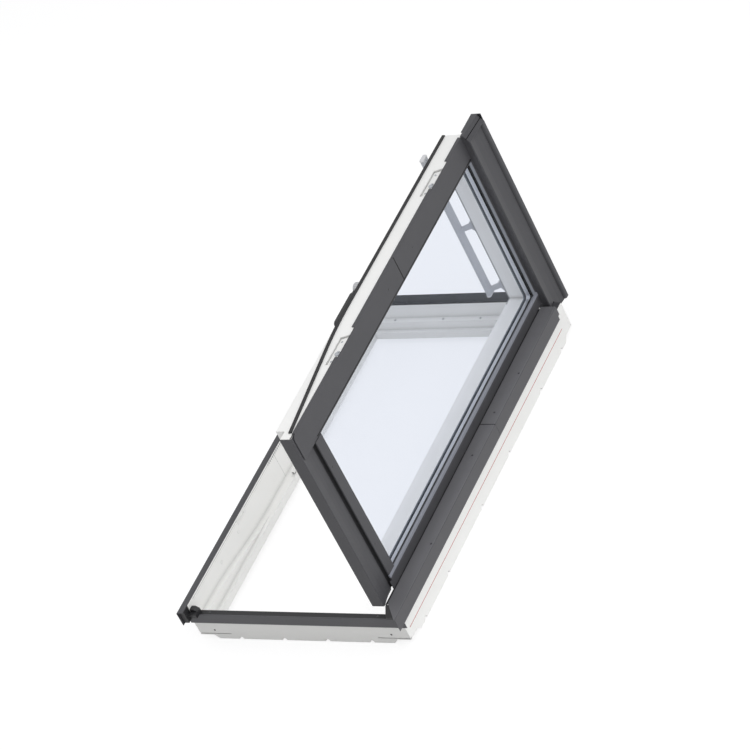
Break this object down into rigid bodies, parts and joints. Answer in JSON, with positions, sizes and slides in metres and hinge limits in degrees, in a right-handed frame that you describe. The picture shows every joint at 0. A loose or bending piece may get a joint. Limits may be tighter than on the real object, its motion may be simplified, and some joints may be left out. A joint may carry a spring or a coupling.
{
  "type": "roof skylight",
  "caption": "Side-hung roof skylight with its frame: white moulded frame, double-glazed sash that opens on hinges, folded dark claddings, handle and control bar",
  "frame": {"origin": "centre of the frame's underside, in the plane of the skirt's lower edge", "axes": "X across the slope with the hinges at +X, Y up the slope, Z outward from the roof"},
  "size_m": [0.68, 1.274, 0.725],
  "materials": {
    "white_moulding": "satin white polyurethane",
    "grey_cladding": "satin grey lacquered aluminium sheet",
    "black_rubber": "matte black rubber",
    "black_plastic": "matte black plastic",
    "pane_glass": "clear float glass",
    "zinc_steel": "zinc-plated steel",
    "light_grey_fitting": "light grey satin",
    "spacer_aluminium": "mill finish"
  },
  "bodies": {
    "frame": {"frame_moulding": "white_moulding", "frame_bottom_cladding": "grey_cladding", "frame_left_cladding": "grey_cladding", "frame_right_cladding_lower": "grey_cladding", "frame_right_cladding_upper": "grey_cladding", "right_end_cap": "grey_cladding", "corner_cover": "grey_cladding", "frame_top_cladding": "grey_cladding", "corner_block_left": "black_plastic", "corner_block_right": "black_plastic", "hinge_side_strip": "black_rubber", "hinge_frame_leaves": "zinc_steel", "hinge_pins": "zinc_steel", "wall_plugs": "white_moulding", "keeper_plates": "white_moulding", "striker_hook": "white_moulding", "frame_screws": "grey_cladding", "ledge_screws": "zinc_steel"},
    "sash": {"sash_moulding": "white_moulding", "lock_plates": "white_moulding", "sash_hood": "grey_cladding", "stile_cladding_upper": "grey_cladding", "stile_cladding_lower": "grey_cladding", "sash_bottom_cladding": "grey_cladding", "bottom_bead": "grey_cladding", "hinge_side_bead": "grey_cladding", "sash_screws": "grey_cladding", "edge_seal": "black_rubber", "inner_gasket": "black_rubber", "outer_gasket": "black_rubber", "groove_seal": "black_rubber", "top_bead": "black_rubber", "side_gasket": "black_rubber", "outer_pane": "pane_glass", "inner_pane": "pane_glass", "hinge_sash_leaves": "zinc_steel", "lock_screws": "zinc_steel", "bar_pins": "zinc_steel", "handle_base": "light_grey_fitting", "bar_feet": "light_grey_fitting", "spacer_bar": "spacer_aluminium"},
    "handle": {"handle_lever": "black_plastic", "handle_knob": "light_grey_fitting", "handle_spindle": "zinc_steel"},
    "hook_upper": {"lock_hook_upper": "zinc_steel"},
    "hook_lower": {"lock_hook_lower": "zinc_steel"},
    "bar": {"control_bar": "light_grey_fitting", "bar_end_caps": "light_grey_fitting"}
  },
  "joints": [
    {"name": "sash_swing", "type": "hinge", "parent": "frame", "child": "sash", "pos_m": [0.282, 0, 0.125], "axis": [0, 1, 0], "range_deg": [-90, 0]},
    {"name": "handle_turn", "type": "hinge", "parent": "sash", "child": "handle", "pos_m": [0.2, 0.03, 0.675], "axis": [1, 0, 0], "range_deg": [0, 90]},
    {"name": "upper_lock", "type": "hinge", "parent": "sash", "child": "hook_upper", "pos_m": [0.2785, 0.374, 0.7149], "axis": [0, 0, 1], "range_deg": [0, 90]},
    {"name": "lower_lock", "type": "hinge", "parent": "sash", "child": "hook_lower", "pos_m": [0.2785, -0.262, 0.7149], "axis": [0, 0, 1], "range_deg": [0, 90]},
    {"name": "bar_tilt", "type": "hinge", "parent": "sash", "child": "bar", "pos_m": [0.204, 0.55, 0.4], "axis": [0, 0, 1], "range_deg": [0, 30]}
  ],
  "couplings": [
    {"joint": "upper_lock", "follows": "handle_turn", "ratio": 1},
    {"joint": "lower_lock", "follows": "handle_turn", "ratio": 1}
  ]
}
